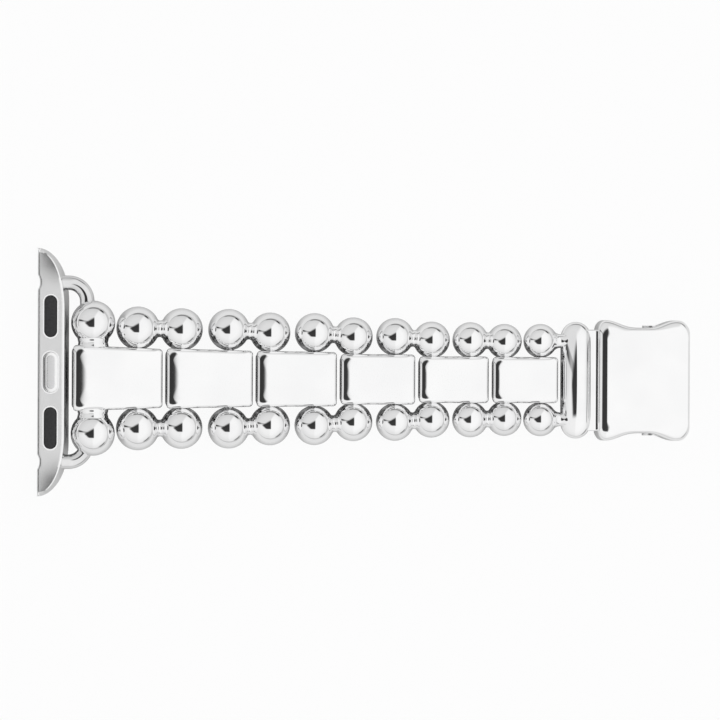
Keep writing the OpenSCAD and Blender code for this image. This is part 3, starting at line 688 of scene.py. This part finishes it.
def case_side(y, half):
    """How far the case side is drawn in at y, by a notch or by the rounded end of a tip."""
    notch_r = ((NOTCH_LENGTH / 2) ** 2 + NOTCH_DEPTH ** 2) / (2 * NOTCH_DEPTH)
    off = abs(abs(y) - NOTCH_SPACING / 2)
    notch = max(0, math.sqrt(max(0, notch_r ** 2 - off ** 2)) - notch_r + NOTCH_DEPTH)
    left = max(0, 1 - (half - abs(y)) / TIP_ROUND)
    return notch + TIP_ROUND_DEPTH * TIP_ROUND * (1 - math.sqrt(max(0, 1 - left ** 2)))


def lug_section(y):
    """The lug's cross-section at y, and a mark for each side of it that is bright cut."""
    low, high = box_mm("lug_body")
    half = (high.y - low.y) / 2
    left = low.x + case_side(y, half)
    right = max(low.x + lug_reach(y), left + LEAST_REACH)
    face = low.x + lug_reach(y, high.x - RAIL_HALF, FACE_TIP_BACK, FACE_TIP_LENGTH)
    face = min(max(face, left + LEAST_FACE), right - LEAST_LIP)
    bevel = min(BEVEL, BEVEL_SHARE * (right - face))
    edge = min(CASE_EDGE, CASE_EDGE_SHARE * (face - left))
    twist = TWIST * smooth(abs(y), TWIST_START, TWIST_END) * min(1, (face - left) / TWIST_FULL_WIDTH)
    points = [(left + edge * (1 - math.cos(a)), high.z - twist - CASE_EDGE_DROP * (1 - math.sin(a)))
              for a in quarter_turn(CASE_EDGE_STEPS)]
    for k in range(1, FACE_STEPS + 1):
        u = k / FACE_STEPS
        points.append((left + edge + (face - left - edge) * u, high.z - twist * (1 - (u + u ** 2) / 2)))
    cut_start = len(points) - 1
    points.append((face + bevel, high.z - BEVEL_DROP))
    roll_x = face + bevel + min(STEP_WIDTH, STEP_SHARE * (right - face))
    roll_z = high.z - BEVEL_DROP - STEP_DROP
    points += [(roll_x + (right - roll_x) * k / LIP_STEPS, roll_z - LIP_DROP * (k / LIP_STEPS) ** LIP_POWER)
               for k in range(LIP_STEPS + 1)]
    cut_end = len(points) - 1
    points += [(right, low.z + FOOT), (right - FOOT / 4, low.z + FOOT / 4), (right - FOOT, low.z),
               (left + CASE_LEAN + FOOT / 2, low.z), (left + CASE_LEAN, low.z + FOOT / 2)]
    marks = [int(cut_start <= k < cut_end) for k in range(len(points))]
    return [(x, y, z) for x, z in points], marks


PILL_STEPS = 24
PAD_LENGTH, PAD_WIDTH = 5.0, 1.5
POCKET_GAP, POCKET_DEPTH = 0.04, 0.9
HALO, HALO_DEPTH = 0.15, 0.008
DETENT_LENGTH, DETENT_WIDTH = 4.84, 1.76
DETENT_FLANGE, DETENT_FLANGE_HEIGHT = 0.3, 0.5
RIM_ROUND, RIM_STEPS = 0.07, 6
OVAL_INSET, OVAL_RISE, OVAL_SLOPE, OVAL_STEPS = 0.38, 0.006, 0.08, 8
DETENT_CREASE, PAD_CREASE = 60, 50
PAD_EDGE, PAD_EDGE_INSET, PAD_EDGE_RISE, PAD_EDGE_STEPS = 0.1, 0.12, 0.07, 6
PAD_CROWN = ((0.3, 0.012), (0.55, 0))


def pill_outline(y, length, width):
    """A slot's outline on the lug's centre line, long side along Y."""
    reach = (length - width) / 2
    upper = arc(0, y + reach, width / 2, 0, 180, PILL_STEPS)
    return upper + arc(0, y - reach, width / 2, 180, 360, PILL_STEPS)


def pill(y, length, width, levels):
    """A slot-shaped solid through (inset, z) levels."""
    return loft([[(px, py, z) for px, py in pill_outline(y, length - 2 * inset, width - 2 * inset)]
                 for inset, z in levels])


def lug_body(material, cut_look):
    """The slide-in lug: dished face, bright bevel, rolled lip, notches, pad pockets, detent's slot."""
    low, high = box_mm("lug_body")
    half = (high.y - low.y) / 2
    stations = [half * math.sin(math.pi / 2 * k / LUG_STEPS) for k in range(1 - LUG_STEPS, LUG_STEPS)]
    stations = [-half] + stations + [half]
    sections = [lug_section(y) for y in stations]
    sides = sections[0][1]
    piece = make("slide_lug", loft([points for points, marks in sections]), material, second=cut_look,
                 marks=sides * (len(stations) - 1), crease=LUG_CREASE)
    around = len(pill_outline(0, PAD_LENGTH, PAD_WIDTH))
    ledge = high.z - HALO_DEPTH
    pockets = [(middle("lug_pad_upper").y * s, PAD_LENGTH, PAD_WIDTH, high.z - POCKET_DEPTH)
               for s in SIDES.values()]
    pockets.append((0, DETENT_LENGTH, DETENT_WIDTH, low.z - PAST))
    cutters = []
    for y, length, width, bottom in pockets:
        levels = [(-POCKET_GAP, bottom), (-POCKET_GAP, ledge), (-POCKET_GAP - HALO, ledge),
                  (-POCKET_GAP - HALO, high.z + PAST)]
        cutters.append(make("pocket", pill(y, length, width, levels), material, second=cut_look,
                            marks=[0] * around + [1] * around))
    cut(piece, cutters, LUG_CREASE)
    dress(piece, "lug", "satin_aluminium", "lug_body")


def lug_detent(material, rim_look):
    """The sprung pill: a bright rounded rim round a long, slightly raised oval."""
    low, high = box_mm("lug_detent")
    flange_z, rim_z = low.z + DETENT_FLANGE_HEIGHT, high.z - OVAL_RISE
    levels = [(-DETENT_FLANGE, low.z), (-DETENT_FLANGE, flange_z), (0, flange_z)]
    plain = len(levels)
    levels += [(RIM_ROUND * (1 - math.cos(a)), rim_z - RIM_ROUND * (1 - math.sin(a)))
               for a in quarter_turn(RIM_STEPS)]
    levels += [(OVAL_INSET, rim_z)]
    levels += [(OVAL_INSET + OVAL_SLOPE * k / OVAL_STEPS, rim_z + OVAL_RISE * smooth(k, 0, OVAL_STEPS))
               for k in range(1, OVAL_STEPS + 1)]
    around = len(pill_outline(0, DETENT_LENGTH, DETENT_WIDTH))
    marks = [0] * plain * around + [1] * (RIM_STEPS + 1) * around
    shape = pill(0, DETENT_LENGTH, DETENT_WIDTH, levels)
    piece = make("detent_pill", shape, material, crease=DETENT_CREASE, second=rim_look, marks=marks)
    dress(piece, "detent", "satin_steel", "lug_detent")


def lug_pad(side, material):
    """A rubber pad with a rounded edge and a faint crown."""
    low, high = box_mm(f"lug_pad_{side}")
    edge_z = high.z - PAD_EDGE
    levels = [(0, low.z), (0, edge_z)]
    levels += [(PAD_EDGE_INSET * (1 - math.cos(a)), edge_z + PAD_EDGE_RISE * math.sin(a))
               for a in quarter_turn(PAD_EDGE_STEPS)[1:]]
    levels += [(inset, high.z - drop) for inset, drop in PAD_CROWN]
    shape = pill((low.y + high.y) / 2, high.y - low.y, high.x - low.x, levels)
    piece = make(f"rubber_pad_{side}", shape, material, crease=PAD_CREASE)
    dress(piece, "lug", "pad_rubber", f"lug_pad_{side}")


# The springs

SPRING_WIRE_R, SPRING_CLEAR = 0.11, 0.01
TURN_STEPS, SPRING_SIDES = 40, 12
DETENT_TRAVEL, DETENT_TURNS = 0.45, 2.2
BUTTON_TRAVEL, BUTTON_TURNS = 0.8, 4.5


def coil_spring(node, body, turns, direction, material):
    """A coil that fills its node's box. The direction points from its fixed end to its moving one."""
    low, high = box_mm(node)
    fixed = low if sum(direction) > 0 else high
    along = Vector(direction)
    centre = (low + high) / 2
    start = centre + along * (fixed - centre).dot(along)
    length = abs((high - low).dot(along))
    across = Vector((1, 0, 0))
    third = along.cross(across)
    coil_r = (high.x - low.x) / 2 - SPRING_WIRE_R
    steps = round(TURN_STEPS * turns)
    free = length - 2 * SPRING_WIRE_R - 2 * SPRING_CLEAR
    rings = []
    for k in range(steps + 1):
        a = 2 * math.pi * turns * k / steps
        out = across * math.cos(a) + third * math.sin(a)
        point = start + along * (SPRING_CLEAR + SPRING_WIRE_R + free * k / steps) + out * coil_r
        rings.append([tuple(point + out * SPRING_WIRE_R * math.cos(t) + along * SPRING_WIRE_R * math.sin(t))
                      for t in full_turn(SPRING_SIDES)])
    piece = make(f"coil_of_{node}", loft(rings), material)
    dress(piece, body, "spring_wire", node)
    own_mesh(piece)


# The dressed band

silver = polished_silver()
flats = polished_flats()
wire = polished_wire()
aluminium = satin_aluminium()
steel = satin_steel()
cut_edge = cut_aluminium()
rubber = pad_rubber()

for k in range(1, BARS + 1):
    for side in SIDES:
        barbell(k, side, silver)
for i in range(1, BLOCKS + 1):
    block(i, flats)
for side in SIDES:
    first_bead(side, silver)
wire_loop(wire)
end_link(silver)
clasp_cover(flats)
base_plate(steel)
lug_body(aluminium, cut_edge)
lug_detent(steel, cut_edge)
for side in SIDES:
    lug_pad(side, rubber)
coil_spring("lug_detent_spring", "lug", DETENT_TURNS, (0, 0, 1), wire)
for side, s in SIDES.items():
    coil_spring(f"button_spring_{side}", "clasp", BUTTON_TURNS,
                (0, s, 0), wire)

SLOT_LOOKS = {
    "satin_aluminium": aluminium,
    "satin_steel": steel,
    "polished_steel": silver,
    "polished_wire": wire,
    "pin_steel": steel,
    "spring_wire": steel,
    "pad_rubber": rubber,
}
for entry in frame["record"]["subparts"]:
    node = frame["nodes"][entry["node"]]
    node.data.materials.clear()
    node.data.materials.append(SLOT_LOOKS[entry["material_slot"]])


# Camera

VIEW_TILT, VIEW_ROLL = 6.0, 0.25
VIEW_DISTANCE = 3000
PICTURE_PIXELS, MM_PER_PIXEL = 720, 0.1208
SENSOR = 36
CLIP = (0.1, 10)
TARGET = Vector((37.61, 1.63, 2.67))


def camera():
    """The photograph's view: from above, leaning towards the lug, with a long lens."""
    data = bpy.data.cameras.new("camera")
    data.sensor_width = SENSOR
    data.lens = SENSOR * VIEW_DISTANCE / (PICTURE_PIXELS * MM_PER_PIXEL)
    data.clip_start, data.clip_end = CLIP
    back = Vector((-math.sin(math.radians(VIEW_TILT)), 0, math.cos(math.radians(VIEW_TILT))))
    level = Vector((0, 1, 0)).cross(back).normalized()
    side = Matrix.Rotation(math.radians(VIEW_ROLL), 3, back) @ level
    up = back.cross(side)
    cam = bpy.data.objects.new("camera", data)
    turn = Matrix((side, up, back)).transposed().to_4x4()
    cam.matrix_world = Matrix.Translation((TARGET + back * VIEW_DISTANCE) * MM) @ turn
    bpy.context.scene.collection.objects.link(cam)
    bpy.context.scene.camera = cam


# Studio. Ranges are the start and end of a soft rise. Directions are angles seen from the band, with
# the view's own line as overhead: across towards +X, along towards +Y, height down from overhead to
# the horizon, and compass round it from +X. Plain numbers from -1 to 1 are parts of a direction.

LEFT_SLOPE, LEFT_SHIFT, LEFT_LEAST, LEFT_RANGE = 0.79, 0.27, 0.05, (-0.14, 0.08)
UPPER_RANGE = (-0.10, 0.12)
UPPER_LEFT_SHADE, LOWER_LEFT_SHADE = 0.22, 0.08
HORIZON_RANGE, HORIZON_SHADE = (45, 90), 0.15
OPENING_BAND, OPENING_Z = (-44, 7.4, 8, 5.5), (0.0, 0.1)
OPENING_LEAN, OPENING_TOP = 0.55, (17, 31)
OPENING_CORNER, OPENING_BOTTOM = (-54, -38), (-26, -20)
OPENING_SHADE = 0.955
ARM_NORMAL, ARM_RANGE, ARM_BAND = (0.18, 0.98), (0.04, 0.085), (-80, -25, 4, 6)
ARM_PALE_RANGE, ARM_PALE_SHARE, ARM_SHADE = (-66, -44), 0.5, 0.93
FOOT_BAND, FOOT_RANGE, FOOT_SHADE = (82, 87, 2, 2), (164, 169), 0.85
RIM_BAND, RIM_RANGE, RIM_SHADE = (83, 90, 4, 2), (120, 160), 0.3
GAPS = ((43, 64, 76, 0.95), (64, 108, 79, 0.6), (-64, -36, 79, 0.7))  # compass from, to, height, shade
GAP_BOTTOM, GAP_SOFT_SIDES, GAP_SOFT_HEIGHT = 87, (14, 14), (5, 3)
FLOOR_HALF, FLOOR_BELOW, FLOOR_WHITE = 1200, 0.02, 0.9
FLOOR_CLEAR = 0.94
# The floor's glow in reflections is painted light, darkened near the part by a painted shadow from ambient
# occlusion.
NEAR_DISTANCE, NEAR_SAMPLES = 9, 8
OPEN_POWER, OPEN_LIGHT = 2.5, 0.48
CLEFT_RANGE, CLEFT_LIGHT = (0.0, 0.22), 0.32


class NodeMaths:
    """Values worked out by the nodes of one tree."""

    def __init__(self, tree):
        self.tree = tree

    def work(self, operation, a, b=0.0):
        step = self.tree.nodes.new("ShaderNodeMath")
        step.operation = operation
        for socket, value in zip(step.inputs, (a, b)):
            if isinstance(value, (int, float)):
                socket.default_value = value
            else:
                self.tree.links.new(value, socket)
        return step.outputs[0]

    def plus(self, a, b):
        return self.work("ADD", a, b)

    def minus(self, a, b):
        return self.work("SUBTRACT", a, b)

    def times(self, a, b):
        return self.work("MULTIPLY", a, b)

    def most(self, a, b):
        return self.work("MAXIMUM", a, b)

    def size(self, value):
        return self.work("ABSOLUTE", value)

    def inverse(self, mask):
        return self.minus(1.0, mask)

    def degrees(self, operation, a, b=0.0):
        return self.times(self.work(operation, a, b), 180 / math.pi)

    def rise(self, value, start, end):
        """0 before start, 1 after end, smooth between."""
        step = self.tree.nodes.new("ShaderNodeMapRange")
        step.interpolation_type = "SMOOTHSTEP"
        step.inputs["From Min"].default_value = start
        step.inputs["From Max"].default_value = end
        self.tree.links.new(value, step.inputs["Value"])
        return step.outputs["Result"]

    def band(self, value, start, end, soft_start, soft_end):
        """1 between start and end, with soft edges of those widths."""
        up = self.rise(value, start - soft_start / 2, start + soft_start / 2)
        down = self.rise(value, end - soft_end / 2, end + soft_end / 2)
        return self.times(up, self.inverse(down))

    def dim(self, light, mask, share):
        """Takes a share of the light away where the mask is 1."""
        return self.times(light, self.inverse(self.times(mask, share)))


def studio_world():
    """A white tent, mirrored below, with shades that only the part sees: a pale upper left, the camera's
    dark opening overhead, its arm and foot, and three gaps near the floor."""
    world = bpy.data.worlds.new("studio")
    bpy.context.scene.world = world
    world.use_nodes = True
    tree = world.node_tree
    sky = NodeMaths(tree)
    place = tree.nodes.new("ShaderNodeTexCoord")
    turn = tree.nodes.new("ShaderNodeVectorRotate")
    turn.rotation_type = "Y_AXIS"
    turn.inputs["Angle"].default_value = math.radians(VIEW_TILT)
    parts = tree.nodes.new("ShaderNodeSeparateXYZ")
    tree.links.new(place.outputs["Generated"], turn.inputs["Vector"])
    tree.links.new(turn.outputs["Vector"], parts.inputs[0])
    x, y, z = parts.outputs
    z = sky.size(z)
    across = sky.degrees("ARCTAN2", x, z)
    along = sky.degrees("ARCTAN2", y, z)
    height = sky.degrees("ARCCOSINE", z)
    compass = sky.degrees("ARCTAN2", y, x)

    edge = sky.most(sky.minus(sky.times(y, LEFT_SLOPE), LEFT_SHIFT), LEFT_LEAST)
    left = sky.inverse(sky.rise(sky.minus(x, edge), *LEFT_RANGE))
    upper = sky.rise(y, *UPPER_RANGE)
    light = sky.dim(1.0, sky.times(left, upper), UPPER_LEFT_SHADE)
    light = sky.dim(light, sky.times(left, sky.inverse(upper)), LOWER_LEFT_SHADE)
    light = sky.dim(light, sky.rise(height, *HORIZON_RANGE), HORIZON_SHADE)

    opening = sky.times(sky.band(across, *OPENING_BAND), sky.rise(z, *OPENING_Z))
    top = sky.minus(along, sky.times(across, OPENING_LEAN))
    opening = sky.times(opening, sky.inverse(sky.rise(top, *OPENING_TOP)))
    opening = sky.times(opening, sky.rise(sky.plus(along, across), *OPENING_CORNER))
    opening = sky.times(opening, sky.rise(along, *OPENING_BOTTOM))
    light = sky.dim(light, opening, OPENING_SHADE)

    beside_arm = sky.size(sky.plus(sky.times(x, ARM_NORMAL[0]), sky.times(y, ARM_NORMAL[1])))
    arm = sky.times(sky.inverse(sky.rise(beside_arm, *ARM_RANGE)), sky.band(across, *ARM_BAND))
    pale = sky.inverse(sky.times(sky.rise(across, *ARM_PALE_RANGE), ARM_PALE_SHARE))
    light = sky.dim(light, sky.times(arm, pale), ARM_SHADE)
    foot = sky.times(sky.band(height, *FOOT_BAND), sky.rise(sky.size(compass), *FOOT_RANGE))
    light = sky.dim(light, foot, FOOT_SHADE)

    away = sky.inverse(sky.rise(sky.size(compass), *RIM_RANGE))
    light = sky.dim(light, sky.times(sky.band(height, *RIM_BAND), away), RIM_SHADE)
    for start, end, gap_top, shade_share in GAPS:
        gap = sky.times(sky.band(compass, start, end, *GAP_SOFT_SIDES),
                        sky.band(height, gap_top, GAP_BOTTOM, *GAP_SOFT_HEIGHT))
        light = sky.dim(light, gap, shade_share)

    seen = tree.nodes.new("ShaderNodeLightPath").outputs["Is Camera Ray"]
    strength = sky.plus(sky.times(light, sky.inverse(seen)), seen)
    background = tree.nodes["Background"]
    background.inputs["Color"].default_value = (1, 1, 1, 1)
    tree.links.new(strength, background.inputs["Strength"])


def floor():
    """A white sheet under the band: it keeps a trace of the shadow, and what curls below it still shows.

    Reflections see it by its own glow, which is painted light, darkened near the part by a painted shadow."""
    half = FLOOR_HALF
    sheet = ([(-half, -half, 0), (half, -half, 0), (half, half, 0), (-half, half, 0)], [(0, 1, 2, 3)])
    paper = make("floor", sheet)
    paper.location.z = -FLOOR_BELOW * MM
    material = bpy.data.materials.new("paper")
    material.use_nodes = True
    tree = material.node_tree
    tree.nodes.clear()
    maths = NodeMaths(tree)
    diffuse = tree.nodes.new("ShaderNodeBsdfDiffuse")
    diffuse.inputs["Color"].default_value = (FLOOR_WHITE, FLOOR_WHITE, FLOOR_WHITE, 1)
    glow = tree.nodes.new("ShaderNodeEmission")
    clear = tree.nodes.new("ShaderNodeBsdfTransparent")
    rays = tree.nodes.new("ShaderNodeLightPath")
    seen = rays.outputs["Is Camera Ray"]
    # Painted shadow: ambient occlusion darkens the glow that reflections see near the part.
    painted_shadow_ao = tree.nodes.new("ShaderNodeAmbientOcclusion")
    painted_shadow_ao.samples = NEAR_SAMPLES
    painted_shadow_ao.inputs["Distance"].default_value = NEAR_DISTANCE * MM
    share = maths.most(maths.times(seen, FLOOR_CLEAR), rays.outputs["Is Glossy Ray"])
    share = maths.most(share, rays.outputs["Is Transmission Ray"])
    openness = painted_shadow_ao.outputs["AO"]
    light = maths.plus(maths.times(maths.work("POWER", openness, OPEN_POWER), OPEN_LIGHT),
                       maths.times(maths.rise(openness, *CLEFT_RANGE), CLEFT_LIGHT))
    tree.links.new(light, glow.inputs["Strength"])

    def mix(factor, first, second):
        step = tree.nodes.new("ShaderNodeMixShader")
        tree.links.new(factor, step.inputs["Fac"])
        tree.links.new(first.outputs[0], step.inputs[1])
        tree.links.new(second.outputs[0], step.inputs[2])
        return step

    output = tree.nodes.new("ShaderNodeOutputMaterial")
    surface = mix(share, diffuse, mix(seen, glow, clear))
    tree.links.new(surface.outputs[0], output.inputs["Surface"])
    paper.data.materials.append(material)


camera()
studio_world()
floor()
bpy.context.scene.view_settings.view_transform = "Standard"
